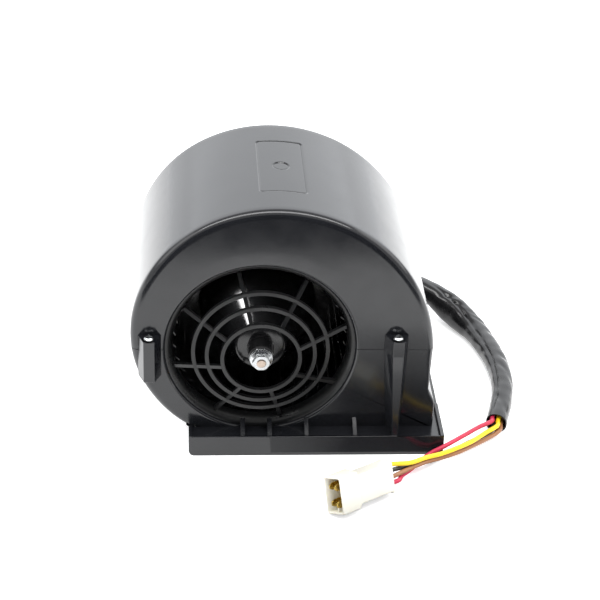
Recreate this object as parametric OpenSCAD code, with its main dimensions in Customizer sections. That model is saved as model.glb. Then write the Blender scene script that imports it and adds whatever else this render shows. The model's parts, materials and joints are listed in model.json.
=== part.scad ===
// Radial evaporator blower: volute casing in two halves, double-inlet wheel,
// permanent-magnet motor in the wheel's hub, three-speed resistor and a
// four-wire lead.  Millimetres, +Z up, the wheel's axis along Y.
// Origin: centre of the outlet flange's lower face.

/* [Casing] */
// Depth of the casing along the wheel axis
case_depth = 126; // [120:1:132]
// Wall thickness of the casing mouldings
wall = 2.5; // [2:0.1:3]
// X of the wheel axis, measured from the flange centre
axis_x = -38; // [-40:0.5:-36]
// Height of the wheel axis and of the parting plane
axis_z = 74.1; // [73:0.1:76]
// Radius of the inlet openings in the side walls
inlet_r = 61.3; // [61:0.1:62]
// Radius of the inlet throats
throat_r = 56.5; // [55.5:0.1:57]

/* [Outlet flange] */
// Length of the flange along X
flange_x = 168; // [168:1:172]
// Width of the flange along Y
flange_y = 153; // [150:1:158]
// Height of the flange skirt
flange_h = 13.7; // [12:0.1:15]
// Height of the raised edge on the flange
flange_lip = 1.3; // [0.5:0.1:2]

/* [Wheel] */
// Outer radius of the blade rings
wheel_r = 66; // [64:0.5:66.5]
// Inner radius of the blades
blade_in = 54.5; // [53:0.5:56]
// Number of blades on each side
blades = 36; // [24:1:40]
// Half of the wheel's width
wheel_half = 50; // [46:1:50]

/* [Motor] */
// Outer radius of the yoke
yoke_r = 30; // [28:0.5:30]
// Radius of the shaft
shaft_r = 4; // [3:0.1:4]
// Radius of the threaded shaft end
thread_r = 3; // [2.5:0.1:3]
// Running clearance of the shaft in its bearings
run_gap = 0.05; // [0.02:0.01:0.1]

/* [Lead] */
// Diameter of the sleeve over the four wires
sleeve_d = 14; // [12:0.5:15]
// Diameter of one wire
wire_d = 3; // [2.5:0.1:3.2]

/* [Hidden] */
$fn = 72;

half = case_depth / 2;
black = [0.10, 0.10, 0.11];
steel = [0.75, 0.76, 0.78];
brass_c = [0.80, 0.66, 0.32];

// ---- scroll: distance from the wheel axis to the outer wall, every 30 degrees
scroll_a = [-30, 0, 30, 60, 90, 120, 150, 180, 210, 240, 270];
scroll_r = [117, 112.4, 108.2, 104.4, 100.3, 94.9, 88.2, 82.9, 78.4, 74.6, 72];

// Smooth curve through the table (Catmull-Rom)
function cr(a, b, c, d, t) = 0.5 * (2 * b + (c - a) * t + (2 * a - 5 * b + 4 * c - d) * t * t
  + (3 * b - a - 3 * c + d) * t * t * t);
function seg(a) = min(len(scroll_r) - 4, floor(a / 30)) ;
function rad(a) = let (i = max(0, seg(a)), t = a / 30 - i)
  cr(scroll_r[i], scroll_r[i + 1], scroll_r[i + 2], scroll_r[i + 3], t);
function spt(a, s) = [axis_x + (rad(a) - s) * cos(a), axis_z + (rad(a) - s) * sin(a)];

// Side view of the casing, moved inwards by s
module outline(s = 0, low = 0)
  polygon(concat([for (a = [0 : 4 : 228]) spt(a, s)],
    [spt(231, s), [-83.6 + s * 1.2, flange_h + s * 0.8], [-82 + s, flange_h], [-82 + s, low],
     [77.7 - s, low], [77.7 - s, 32], [75.2 - s, 38], [73 - s, 42], [73.8 - s, 60]]));

// Extrude a side view along Y, centred
module along_y(h) rotate([90, 0, 0]) linear_extrude(height = h, center = true) children();
// Place something built round its own Z on the wheel axis, Z pointing along +Y
module on_axis(y = 0) translate([axis_x, y, axis_z]) rotate([-90, 0, 0]) children();
// Both ends of the casing: as drawn, and mirrored front to back
module both() { children(); mirror([0, 1, 0]) children(); }

// ---- casing ---------------------------------------------------------------
screw_y = 68;
screw_xl = -109.2;
screw_xr = 49.8;
boss_top = 85.5;

module left_boss_2d()
  polygon([[-116.4, -half + 0.01], [-112.7, -72.2], [-105.7, -72.2], [-101.6, -half + 0.01], [-101.6, -half + 1.5], [-116.4, -half + 1.5]]);
module left_boss(z0, z1) intersection() {
  translate([0, 0, z0]) linear_extrude(height = z1 - z0) left_boss_2d();
  along_y(200) outline(-0.6);
}
module right_boss_2d()
  polygon([[41.6, -half + 0.01], [46.6, -72.2], [53.6, -72.2], [57.2, -half + 0.01], [57.2, -half + 1.5], [41.6, -half + 1.5]]);

module inlet_hole() {
  on_axis() cylinder(r = inlet_r, h = 200, center = true, $fn = 128);
  both() on_axis(-half) cylinder(r1 = inlet_r + 1.5, r2 = inlet_r, h = 1.8, $fn = 128);
}

module shell() difference() {
  along_y(case_depth) outline(0);
  along_y(case_depth - 2 * wall) outline(wall, -5);
  inlet_hole();
}

// Recessed blank label field and its round dimple on the top of the casing
module label_field() {
  intersection() {
    difference() { along_y(90) outline(-2); along_y(100) outline(0.4); }
    translate([-24.7, 0, 140]) linear_extrude(height = 60) {
      square([25.8, 70], center = true);
      square([29.8, 66], center = true);
      for (x = [-12.9, 12.9], y = [-33, 33]) translate([x, y]) circle(r = 2, $fn = 32);
    }
  }
  intersection() {
    difference() { along_y(20) outline(-2); along_y(30) outline(0.9); }
    translate([-24.7, 0, 140]) cylinder(r = 5.2, h = 60, $fn = 48);
  }
}

module upper_casing() color(black) difference() {
  union() {
    intersection() {
      shell();
      translate([-200, -100, axis_z]) cube([400, 200, 200]);
    }
    both() {
      left_boss(axis_z, boss_top);
      translate([0, 0, axis_z]) linear_extrude(height = boss_top - axis_z) right_boss_2d();
    }
    // stiffening web inside the top
    translate([-60, -1, 164]) cube([44, 2, 5]);
  }
  label_field();
  on_axis() cylinder(r = inlet_r, h = 2 * half - 0.01, center = true, $fn = 128);
  both() for (x = [screw_xl, screw_xr]) translate([x, -screw_y, 0]) {
    cylinder(r = 2.1, h = 120, $fn = 32);
    translate([0, 0, boss_top - 0.8]) cylinder(r = 4.1, h = 5, $fn = 32);
  }
}

module flange_block() difference() {
  union() {
    along_y(flange_y) {
      translate([-flange_x / 2, 4]) square([flange_x, flange_h - 4]);
      translate([-flange_x / 2 + 4, 0]) square([flange_x - 8, 5]);
      for (x = [-1, 1]) translate([x * (flange_x / 2 - 4), 4]) circle(r = 4, $fn = 32);
    }
    // raised edge on the front and the rear
    both() translate([-flange_x / 2, -flange_y / 2, flange_h]) cube([flange_x, 1.3, flange_lip]);
    // end lips that slide into a mounting channel
    both() for (x = [-flange_x / 2, flange_x / 2 - 2.6])
      translate([x, -flange_y / 2, flange_h]) cube([2.6, 37.5, flange_lip + 0.3]);
  }
  // hollow underside round the duct
  difference() {
    translate([-flange_x / 2 + 2.5, -flange_y / 2 + 2.5, -1])
      cube([flange_x - 5, flange_y - 5, flange_h - 1.5]);
    translate([-82, -half, -2]) cube([159.7, case_depth, 20]);
  }
  translate([-79.5, -half + wall, -1]) cube([154.7, case_depth - 2 * wall, 30]);
  // groove between the duct wall and the right-hand lip
  both() translate([77.7, -flange_y / 2 + 1.3, flange_h - 1.2]) cube([3.7, 36.2, 5]);
}

// Rib from the right-hand boss down to the flange
module right_rib() hull() {
  translate([0, 0, axis_z - 0.01]) linear_extrude(height = 0.01) right_boss_2d();
  translate([0, 0, flange_h]) linear_extrude(height = 0.01)
    polygon([[46, -half + 1.5], [46, -half], [49.6, -76.3], [52.4, -76.3], [56, -half], [56, -half + 1.5]]);
}

module gusset(x) translate([x - 1.5, 0, flange_h - 0.01]) rotate([90, 0, 90])
  linear_extrude(height = 3) polygon([[-half + 0.5, 0], [-half + 0.5, 7], [-half, 7], [-75.2, 1], [-75.2, 0]]);

// Cut-off: closes the space under the wheel, so the air leaves only on the right
cut_r = wheel_r + 3.3;
module cut_off() along_y(case_depth - 1) {
  difference() {
    translate([axis_x, axis_z]) intersection() {
      circle(r = cut_r + wall, $fn = 128);
      polygon([[0, 0], 160 * [cos(226), sin(226)], 160 * [cos(258), sin(258)], 160 * [cos(290), sin(290)]]);
    }
    translate([axis_x, axis_z]) circle(r = cut_r, $fn = 128);
  }
  translate([axis_x, axis_z]) rotate(227) translate([cut_r, -wall / 2]) square([6, wall]);
  translate([-16, 0]) square([wall, 6.6]);
}

module lower_casing() color(black) difference() {
  union() {
    cut_off();
    intersection() {
      shell();
      translate([-200, -100, 0]) cube([400, 200, axis_z]);
    }
    flange_block();
    both() {
      left_boss(55, axis_z);
      right_rib();
      for (x = [-48.6, -31, -6.8, 25.1]) gusset(x);
    }
  }
  on_axis() cylinder(r = inlet_r, h = 2 * half - 0.01, center = true, $fn = 128);
  translate([-79.5, -half + wall, -1]) cube([154.7, case_depth - 2 * wall, 15.5]);
  both() for (x = [screw_xl, screw_xr]) translate([x, -screw_y, axis_z - 14])
    cylinder(r = 1.9, h = 40, $fn = 32);
  // opening for the speed resistor in the rear wall
  translate([24, half - wall - 1, 29]) cube([16, 5, 18]);
  for (z = [25, 51]) translate([32.2, half + 1, z]) rotate([90, 0, 0]) cylinder(r = 1.3, h = 10, $fn = 32);
}

module casing_screws() color(steel) both() for (x = [screw_xl, screw_xr])
  translate([x, -screw_y, 0]) difference() {
    union() {
      translate([0, 0, axis_z - 14]) cylinder(r = 1.9, h = boss_top - 0.8 - axis_z + 14.2, $fn = 32);
      translate([0, 0, boss_top - 0.8]) cylinder(r = 3.4, h = 1.9, $fn = 32);
      translate([0, 0, boss_top + 1.1]) cylinder(r1 = 3.4, r2 = 2.4, h = 0.8, $fn = 32);
    }
    for (a = [0, 90]) rotate([0, 0, a]) translate([-2, -0.45, boss_top + 0.5]) cube([4, 0.9, 3]);
  }

// ---- inlets ---------------------------------------------------------------
function bell(y0) = [[inlet_r, y0 + 2], [60.1, y0 + 2.3], [58.7, y0 + 3.3], [57.6, y0 + 4.7],
  [56.8, y0 + 6.2], [throat_r, y0 + 8], [throat_r, y0 + 11.5], [58.3, y0 + 11.5], [58.3, y0 + 8.5],
  [59.6, y0 + 5.7], [61.3, y0 + 4.5], [65, y0 + 4.5], [65, y0 + 2.5], [inlet_r, y0 + 2.5]];

module front_inlet_grille() color(black) on_axis() {
  rotate_extrude($fn = 128) polygon(bell(-half));
  for (q = [[24.8, -74.2], [34.6, -69.6], [43.3, -65.6]])
    rotate_extrude($fn = 96) translate([q[0] - 1.2, q[1]]) square([2.4, 3]);
  for (k = [0 : 7]) rotate([0, 0, -15 - 45 * k]) rotate([90, 0, 0])
    linear_extrude(height = 2.4, center = true)
      polygon([[24.6, -73.8], [44, -64.9], [throat_r + 0.6, -58.9], [throat_r + 0.6, -55.2], [44, -62.2], [24.6, -71.4]]);
}

cup_r = 34.5;
cup_in = 32.2;
module rear_inlet_mount() color(black) difference() {
  on_axis() {
    mirror([0, 0, 1]) rotate_extrude($fn = 128) polygon(bell(-half));
    // cup round the rear of the motor
    difference() {
      translate([0, 0, 34]) cylinder(r = cup_r, h = 20.5, $fn = 96);
      translate([0, 0, 33]) cylinder(r = cup_in, h = 19, $fn = 96);
      translate([0, 0, 50]) cylinder(r = 12, h = 10, $fn = 64);
      for (a = [0, 180]) rotate([0, 0, a + 60]) translate([20, 0, 50]) cylinder(r = 1.9, h = 10, $fn = 32);
      // window for the motor leads
      rotate([0, 0, 45]) translate([21.5, -4, 50]) cube([9, 8, 10]);
    }
    // arms
    for (a = [45, 135, 225, 315]) rotate([0, 0, a]) difference() {
      translate([cup_r - 1, -4.5, 50.6]) cube([throat_r - cup_r + 1.8, 9, 3.4]);
      if (a == 225) translate([0, 0, 0]) cube(1);
    }
    for (a = [0, 90, 180, 270]) rotate([0, 0, a]) difference() {
      translate([cup_r - 1, -1.5, 50.6]) cube([throat_r - cup_r + 1.8, 3, 2.9]);
      cube(1);
    }
    // ring between the arms, for stiffness and as a finger guard
    translate([0, 0, 50]) difference() {
      cylinder(r = 46.5, h = 3, $fn = 96);
      translate([0, 0, -1]) cylinder(r = 44, h = 5, $fn = 96);
    }
  }
}

// ---- motor, fixed parts ---------------------------------------------------
module motor_yoke() color([0.55, 0.56, 0.58]) on_axis() difference() {
  union() {
    translate([0, 0, -22]) cylinder(r = yoke_r, h = 66);
    translate([0, 0, -29]) cylinder(r = 9.5, h = 8);
    translate([0, 0, -23.5]) cylinder(r1 = 24, r2 = 28.5, h = 1.51);
  }
  translate([0, 0, -19.8]) cylinder(r = 27.8, h = 70);
  translate([0, 0, -27.5]) cylinder(r = 7.5, h = 10);
  translate([0, 0, -30]) cylinder(r = 5.2, h = 10);
  for (a = [30, 150, 270]) rotate([0, 0, a]) translate([18, 0, -25]) cylinder(r = 3, h = 8, $fn = 32);
}

module arc_block(r0, r1, a, h) rotate([0, 0, -a / 2]) rotate_extrude(angle = a, $fn = 96) translate([r0, 0]) square([r1 - r0, h]);

module field_magnets() color([0.2, 0.2, 0.21]) on_axis()
  for (a = [0, 180]) rotate([0, 0, a]) translate([0, 0, -11]) arc_block(22.6, 27.8, 136, 38);

module magnet_clips() color(steel) on_axis()
  for (a = [90, 270]) rotate([0, 0, a]) translate([0, 0, -6]) difference() {
    arc_block(24.2, 27.8, 40, 28);
    translate([0, 0, 2]) arc_block(23, 27.0, 36, 24);
  }

module front_bearing() color([0.62, 0.50, 0.30]) on_axis() translate([0, 0, -27.5]) difference() {
  cylinder(r = 7.5, h = 6.5);
  translate([0, 0, -1]) cylinder(r = shaft_r + run_gap, h = 10);
}
module rear_bearing() color([0.62, 0.50, 0.30]) on_axis() translate([0, 0, 46]) difference() {
  cylinder(r = 7.5, h = 6.5);
  translate([0, 0, -1]) cylinder(r = shaft_r + run_gap, h = 10);
}
module bearing_retainers() color(steel) on_axis() for (z = [-21, 45.2]) translate([0, 0, z]) difference() {
  cylinder(r = 7.5, h = 0.8);
  translate([0, 0, -1]) cylinder(r = 5.4, h = 3);
}

module motor_end_cap() color([0.16, 0.16, 0.17]) on_axis() difference() {
  union() {
    translate([0, 0, 44]) cylinder(r = yoke_r, h = 2.5);
    translate([0, 0, 42.75]) cylinder(r = 27.8, h = 1.5);
    translate([0, 0, 46]) cylinder(r = 9.5, h = 8);
  }
  translate([0, 0, 40]) cylinder(r = 7.5, h = 12.5);
  translate([0, 0, 42]) cylinder(r = 12, h = 2.0);
  translate([0, 0, 50]) cylinder(r = 5.2, h = 10);
  for (a = [60, 240]) rotate([0, 0, a]) translate([20, 0, 40]) cylinder(r = 1.5, h = 10, $fn = 32);
  // slot for the lead exits
  rotate([0, 0, 45]) translate([22.5, -3.5, 40]) cube([4.5, 7, 10]);
  for (a = [0, 120, 180, 300]) rotate([0, 0, a]) translate([18, 0, 40]) cylinder(r = 2.2, h = 10, $fn = 32);
}

brush_y = 37;
module brush_card() color([0.35, 0.22, 0.12]) on_axis() translate([0, 0, 40.75]) difference() {
  cylinder(r = 27.8, h = 2);
  translate([0, 0, -1]) cylinder(r = 12.5, h = 4);
  for (a = [45]) rotate([0, 0, a]) translate([22.5, -3.5, -1]) cube([4.5, 7, 4]);
}

// Brass tubes that guide the brushes, one above and one below the commutator
module brush_holders() color(brass_c) for (s = [-1, 1]) translate([axis_x, brush_y, axis_z])
  difference() {
    translate([-4.25, -3.75, s > 0 ? 12.6 : -26.6]) cube([8.5, 7.5, 14]);
    translate([-3.65, -3.15, s > 0 ? 12 : -26]) cube([7.3, 6.3, 14]);
  }

module brush(s) color([0.22, 0.21, 0.21]) translate([axis_x, brush_y, axis_z])
  difference() {
    translate([-3.5, -3, s > 0 ? 8.6 : -20.6]) cube([7, 6, 12]);
    rotate([-90, 0, 0]) cylinder(r = 9.65, h = 12, center = true, $fn = 72);
  }
module brush_upper() brush(1);
module brush_lower() brush(-1);

// Open coil spring swept along a helix
function hx(r, p, a) = [r * cos(a), r * sin(a), p * a / 360];
module coil(r, w, p, turns, n = 14, m = 6) {
  k = turns * n;
  pts = [for (i = [0 : k]) let (a = i * 360 / n) for (j = [0 : m - 1])
    let (b = j * 360 / m) [(r + w * cos(b)) * cos(a), (r + w * cos(b)) * sin(a), p * a / 360 + w * sin(b)]];
  fcs = concat([[for (j = [0 : m - 1]) j]], [[for (j = [m - 1 : -1 : 0]) k * m + j]],
    [for (i = [0 : k - 1], j = [0 : m - 1]) let (q = (j + 1) % m)
      [i * m + j, (i + 1) * m + j, (i + 1) * m + q]],
    [for (i = [0 : k - 1], j = [0 : m - 1]) let (q = (j + 1) % m)
      [i * m + j, (i + 1) * m + q, i * m + q]]);
  polyhedron(points = pts, faces = fcs, convexity = 8);
}
module brush_spring_upper() color(steel) translate([axis_x, brush_y, axis_z + 20.95]) coil(2.2, 0.3, 1.1, 4);
module brush_spring_lower() color(steel) translate([axis_x, brush_y, axis_z - 20.95]) mirror([0, 0, 1]) coil(2.2, 0.3, 1.1, 4);

// Interference chokes in the leads, on the brush card
module choke_coils() color([0.72, 0.42, 0.22]) for (s = [-1, 1])
  translate([axis_x + s * 18.5, 34.6, axis_z - 6]) {
    rotate_extrude($fn = 32) polygon(concat([[0, -1.6], [2.4, -1.6], [2.4, -1]],
      [for (k = [0 : 5], q = [[3.2, 0.1], [3.8, 0.5], [4, 1], [3.8, 1.5], [3.2, 1.9]]) [q[0], q[1] - 1 + k * 2]],
      [[2.4, 11], [2.4, 11.6], [0, 11.6]]));
    translate([-1, 2, 0]) cube([2, 4.15, 10]);
  }

module motor_screws() color(steel) on_axis() for (a = [60, 240]) rotate([0, 0, a]) translate([20, 0, 0]) difference() {
  union() {
    translate([0, 0, 43]) cylinder(r = 1.5, h = 12, $fn = 32);
    translate([0, 0, 54.5]) cylinder(r = 3.6, h = 2.4, $fn = 32);
  }
  for (b = [0, 90]) rotate([0, 0, b]) translate([-2, -0.45, 55.9]) cube([4, 0.9, 3]);
}

module isolator_ring() color([0.08, 0.08, 0.08]) on_axis() translate([0, 0, 35.5]) difference() {
  cylinder(r = cup_in, h = 8);
  translate([0, 0, -1]) cylinder(r = yoke_r, h = 12);
  for (a = [0 : 30 : 330]) rotate([0, 0, a]) translate([yoke_r - 1, -1.5, -1]) cube([1.8, 3, 12]);
}
module isolator_bushes() color([0.08, 0.08, 0.08]) on_axis() for (a = [60, 240]) rotate([0, 0, a])
  translate([20, 0, 46.5]) difference() {
    cylinder(r = 5, h = 5.5, $fn = 48);
    translate([0, 0, -1]) cylinder(r = 1.5, h = 9, $fn = 32);
  }

// ---- speed resistor -------------------------------------------------------
module resistor_carrier() color([0.86, 0.82, 0.72]) difference() {
  union() {
    translate([22.5, half, 22]) cube([19.5, 2.2, 32]);
    translate([24.2, half - wall - 3, 29.2]) cube([15.6, wall + 3.1, 17.6]);
    for (x = [27, 32, 37]) translate([x - 0.8, half - wall - 18, 37]) cube([1.6, 16, 2]);
  }
  // the fuse's link passes through the middle post
  translate([30.8, half - wall - 6.4, 38]) rotate([0, 90, 0]) cylinder(r = 0.5, h = 2.4, $fn = 24);
  for (z = [25, 51]) translate([32.2, half + 5, z]) rotate([90, 0, 0]) cylinder(r = 1.6, h = 10, $fn = 32);
}
module resistor_coils() color([0.60, 0.58, 0.55]) for (z = [33.1, 42.9])
  translate([32, half - wall - 10, z]) rotate([0, 90, 0]) for (k = [-2.5 : 1 : 2.5])
    translate([0, 0, k * 2.2]) rotate_extrude($fn = 32) translate([2.6, 0]) circle(r = 0.6, $fn = 12);
module thermal_fuse() color([0.82, 0.80, 0.74]) translate([27.8, half - wall - 6.4, 38]) rotate([0, 90, 0]) {
  cylinder(r = 1.0, h = 3.4, $fn = 32);
  translate([0, 0, 5]) cylinder(r = 1.0, h = 3.4, $fn = 32);
  translate([0, 0, 3]) cylinder(r = 0.5, h = 2.4, $fn = 24);
}
module resistor_screws() color(steel) for (z = [25, 51]) translate([32.2, half, z]) rotate([90, 0, 0]) difference() {
  union() {
    translate([0, 0, -3.9]) cylinder(r = 3.0, h = 1.7, $fn = 32);
    translate([0, 0, -2.3]) cylinder(r = 1.3, h = 8, $fn = 32);
  }
  for (a = [0, 90]) rotate([0, 0, a]) translate([-1.6, -0.35, -5]) cube([3.2, 0.7, 2]);
}

// Cover over the resistor's terminals; the lead leaves through its rear face
lead_x = 32.2;
lead_z = 38;
module terminal_cover() color(black) difference() {
  translate([23, half + 2.2, 28.6]) cube([18.5, 11.3, 18.8]);
  translate([25, half + 2.1, 30.6]) cube([14.5, 9.4, 14.8]);
  translate([lead_x, half + 10, lead_z]) rotate([-90, 0, 0]) cylinder(r = 6.8, h = 10, $fn = 48);
  // notch for the motor leads
  translate([22, half + 2.1, 40.6]) cube([4, 6.2, 4.2]);
}
module lead_grommet() color([0.09, 0.09, 0.09]) translate([lead_x, half + 11.5, lead_z]) rotate([-90, 0, 0]) {
  cylinder(r = 6.8, h = 2.2, $fn = 48);
  translate([0, 0, 2]) cylinder(r = 8.6, h = 2, $fn = 48);
  translate([0, 0, 4]) cylinder(r1 = 8.6, r2 = 7.8, h = 5, $fn = 48);
  translate([0, 0, -1.8]) cylinder(r = 7.0, h = 1.8, $fn = 48);
}

// ---- tube along a route ---------------------------------------------------
function unit(v) = v / norm(v);
function pt(P, i) = P[max(0, min(len(P) - 1, i))];
function crv(P, i, t) = let (a = i == 0 ? 2 * P[0] - P[1] : P[i - 1], b = P[i], c = P[i + 1],
  d = i + 2 > len(P) - 1 ? 2 * c - b : P[i + 2]) cr(a, b, c, d, t);
function smooth(P, n) = concat([for (i = [0 : len(P) - 2], k = [0 : n - 1]) crv(P, i, k / n)], [P[len(P) - 1]]);
function tang(P, i) = unit(pt(P, i + 1) - pt(P, i - 1));
module tube(P, r, m, w = 1) {
  n = len(P);
  pts = [for (i = [0 : n - 1]) let (t = tang(P, i),
    u = unit(cross(t, abs(t[2]) > 0.95 ? [0, 1, 0] : [0, 0, 1])), v = cross(u, t))
    for (j = [0 : m - 1]) let (b = (j + 0.5) * 360 / m) P[i] + u * (r * w * cos(b)) + v * (r * sin(b))];
  fcs = concat([[for (j = [m - 1 : -1 : 0]) j]], [[for (j = [0 : m - 1]) (n - 1) * m + j]],
    [for (i = [0 : n - 2], j = [0 : m - 1]) let (q = (j + 1) % m) [i * m + j, i * m + q, (i + 1) * m + q]],
    [for (i = [0 : n - 2], j = [0 : m - 1]) let (q = (j + 1) % m) [i * m + j, (i + 1) * m + q, (i + 1) * m + j]]);
  polyhedron(points = pts, faces = fcs, convexity = 8);
}

// Routes of the free lead, from the grommet to the connector
sleeve_route = [[32.2, 83.5, 38], [32.2, 89, 38], [36, 96, 37.2], [44, 101.5, 34.8], [57, 105, 30.6], [72, 104, 27], [87, 101, 22.6],
  [98.5, 97, 17.8], [109.5, 88, 12.2], [118, 77, 8.8], [125, 64, 7.5], [130.8, 43, 7.2], [134.4, 20, 7.2],
  [134.4, -3, 7.2], [130.6, -25, 7.2], [123, -51, 7.2]];
red_route = [[120, -50.2, 10.6], [118.9, -54, 10.6], [109.5, -60, 10.2], [96.7, -70.6, 10.2], [84.4, -78.7, 8.5], [74.8, -81.1, 4.2], [67, -87.4, 2.1], [60, -97, 3.2], [53, -107.5, 6.2], [50.2, -115.3, 8.7], [45.2, -118.6, 9]];
yellow_route = [[123.9, -51.3, 9.4], [122.5, -56.5, 8.6], [115, -61.5, 7.2], [103, -72.5, 7.4], [91.5, -80.5, 7.8], [81, -87.5, 8.8], [70, -94, 10.6], [58.5, -103, 13.2], [45.5, -107.7, 15.6], [40.5, -111, 15.9]];
brown_route = [[125.9, -51.8, 5.8], [124.6, -56.4, 5], [118.5, -61, 3.4], [105.5, -70.5, 3.2], [93, -79, 3.4], [81, -86.5, 4.6], [70.5, -93.5, 6.8], [59.5, -102.5, 8.8], [48.6, -112.8, 11], [43.6, -116.1, 11.3]];
black_route = [[121.5, -50.6, 5.4], [120.4, -54.6, 4.2], [113, -58.5, 1.8], [101.5, -66.5, 1.8], [89, -76, 1.8], [77, -84.5, 1.8], [68.5, -91.5, 4.6], [57, -99.5, 7.6], [47.1, -110.2, 13.3], [42.1, -113.5, 13.6]];
lead_a = [[-19.8, 52, 58.4], [-17.6, 56.6, 55.4], [-10.5, 57, 48], [-3, 59.6, 42.5], [3, 64.8, 40.2], [9, 66.2, 40.6], [15, 66.3, 42], [19.5, 66.6, 42.6], [24, 66.6, 42.7]];
lead_b = [[-22.2, 52, 55.8], [-20, 56.6, 52.8], [-12, 57.2, 44.6], [-4.5, 59.8, 39.2], [2, 65, 36.8], [8.5, 66.6, 37.2], [15, 69.2, 40.2], [19.5, 69.4, 42.4], [24, 69.4, 42.7]];

module lead_sleeve() color([0.12, 0.12, 0.12]) tube(smooth(sleeve_route, 1), sleeve_d / 2, 12);
module wire_red() color([0.78, 0.16, 0.24]) tube(smooth(red_route, 2), wire_d / 2, 8);
module wire_yellow() color([0.95, 0.80, 0.10]) tube(smooth(yellow_route, 2), wire_d / 2, 8);
module wire_brown() color([0.60, 0.40, 0.27]) tube(smooth(brown_route, 2), wire_d / 2, 8);
module wire_black() color([0.08, 0.08, 0.08]) tube(smooth(black_route, 2), wire_d / 2, 8);
module motor_leads() { color([0.7, 0.12, 0.15]) tube(smooth(lead_a, 1), 1.3, 8); color([0.1, 0.1, 0.1]) tube(smooth(lead_b, 1), 1.3, 8); }

// ---- connector: four-way male housing -------------------------------------
// Own frame: +X out of the mouth, Y across, Z up; then rolled and turned
module at_connector() translate([4.8, -140.5, 15]) rotate([0, 0, 214]) rotate([0, -3.2, 0]) rotate([20, 0, 0]) children();
module connector_housing() color([0.95, 0.94, 0.88]) at_connector() difference() {
  union() {
    translate([-18, -6.2, -12.5]) cube([18, 12.4, 25]);
    translate([-46, -6, -9.8]) cube([28.5, 12, 19.6]);
    // locking ramp
    translate([-16, 6.2, -3]) cube([5, 1.2, 6]);
    // finger ledge at the rear
    translate([-46, -6, -10.8]) cube([2.2, 12, 21.6]);
  }
  translate([-14, -5, -11.3]) cube([20, 10, 22.6]);
  // sockets for the tabs' bases
  for (y = [-2.6, 2.6], z = [-5.6, 5.6]) translate([-17, y - 1.1, z - 2.6]) cube([4, 2.2, 5.2]);
}
module connector_tabs() color(brass_c) at_connector()
  for (y = [-2.6, 2.6], z = [-5.6, 5.6]) {
    translate([-15, y - 0.4, z - 2.4]) cube([12.5, 0.8, 4.8]);
    translate([-17, y - 1.1, z - 2.6]) cube([4, 2.2, 5.2]);
  }
module connector_lock() color([0.92, 0.91, 0.84]) at_connector()
  translate([-33, -7.6, -6]) cube([9, 1.6, 12]);

// ---- rotor ----------------------------------------------------------------
module shaft() color(steel) on_axis() difference() {
  union() {
    translate([0, 0, -72.9]) cylinder(r = shaft_r, h = 124.4);
    translate([0, 0, -79.3]) cylinder(r = thread_r, h = 6.5, $fn = 48);
    translate([0, 0, -79.6]) cylinder(r1 = thread_r - 0.5, r2 = thread_r, h = 0.31, $fn = 48);
  }
}

slots = 10;
core_r = 21.8;
module core_2d() difference() {
  circle(r = core_r, $fn = 96);
  circle(r = shaft_r, $fn = 48);
  for (k = [0 : slots - 1]) rotate(k * 360 / slots) {
    polygon([[10, -1.6], [19.4, -4.3], [19.4, 4.3], [10, 1.6]]);
    translate([19, -0.9]) square([4, 1.8]);
  }
}
module armature_core() color([0.45, 0.46, 0.48]) on_axis() translate([0, 0, -7]) linear_extrude(height = 30) core_2d();
module armature_windings() color([0.75, 0.40, 0.20]) on_axis() {
  for (s = [0, 1]) translate([0, 0, s ? 23 : -7]) mirror([0, 0, 1 - s]) rotate_extrude($fn = 72)
    polygon([[6.2, 0], [19.4, 0], [19.4, 3], [17.5, 5.6], [14, 7.2], [8.5, 7.2], [6.2, 4]]);
  for (k = [0 : slots - 1]) rotate([0, 0, k * 360 / slots]) translate([0, 0, -7.5]) linear_extrude(height = 31)
    polygon([[10.6, -1.4], [18.9, -3.9], [18.9, 3.9], [10.6, 1.4]]);
}
module commutator() color([0.78, 0.45, 0.25]) on_axis() difference() {
  union() {
    translate([0, 0, 30.5]) cylinder(r = 9.5, h = 12.2);
    translate([0, 0, 30.2]) cylinder(r = 11, h = 1.6);
  }
  cylinder(r = shaft_r, h = 60, $fn = 48);
  for (k = [0 : slots - 1]) rotate([0, 0, 18 + k * 360 / slots]) translate([8.3, -0.3, 29]) cube([5, 0.6, 15]);
}

// One forward-curved blade, drawn from the inner to the outer radius
function bl(t, o) = let (r = blade_in + (wheel_r - 0.6 - blade_in) * t, a = 9.5 * (1 - (1 - t) * (1 - t)) - 3)
  [(r + 0) * cos(a + o), (r + 0) * sin(a + o)];
module blade_2d() polygon(concat([for (t = [0 : 0.2 : 1]) bl(t, 0)], [for (t = [1 : -0.2 : 0]) bl(t, 1.15)]));

module impeller() color([0.13, 0.13, 0.14]) on_axis() {
  // hub, bowl over the motor, and centre disc
  rotate_extrude($fn = 96) polygon([[shaft_r, -72.4], [7.6, -72.4], [8.3, -71.8], [8.3, -60.6], [8.9, -60.2], [14.4, -60.2],
    [15.8, -59.6], [17.0, -58.2], [18.6, -54.6], [22.6, -47], [27.4, -39], [31.6, -32.5], [34.6, -26], [36.2, -18], [36.8, -8],
    [37.4, -3.6], [39, -1.6], [41.5, -1.2], [63, -1.2], [63, 1.2], [41, 1.2], [36.6, 0.4], [35, -3], [34.4, -8], [33.8, -17],
    [32.2, -25], [29.4, -31], [25.4, -37.4], [20.6, -45.4], [16.6, -53], [15.2, -56.4], [13.8, -57.6], [8.6, -57.6], [8.6, -40], [shaft_r, -40]]);
  for (s = [0, 1]) mirror([0, 0, s]) {
    linear_extrude(height = wheel_half - 0.5) for (k = [0 : blades - 1]) rotate(k * 360 / blades + s * 5) blade_2d();
    translate([0, 0, wheel_half - 3]) rotate_extrude($fn = 96)
      translate([wheel_r - 4, 0]) square([4, 3]);
  }
  rotate_extrude($fn = 96) translate([62, -1.2]) square([wheel_r - 62.4, 2.4]);
}

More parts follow.
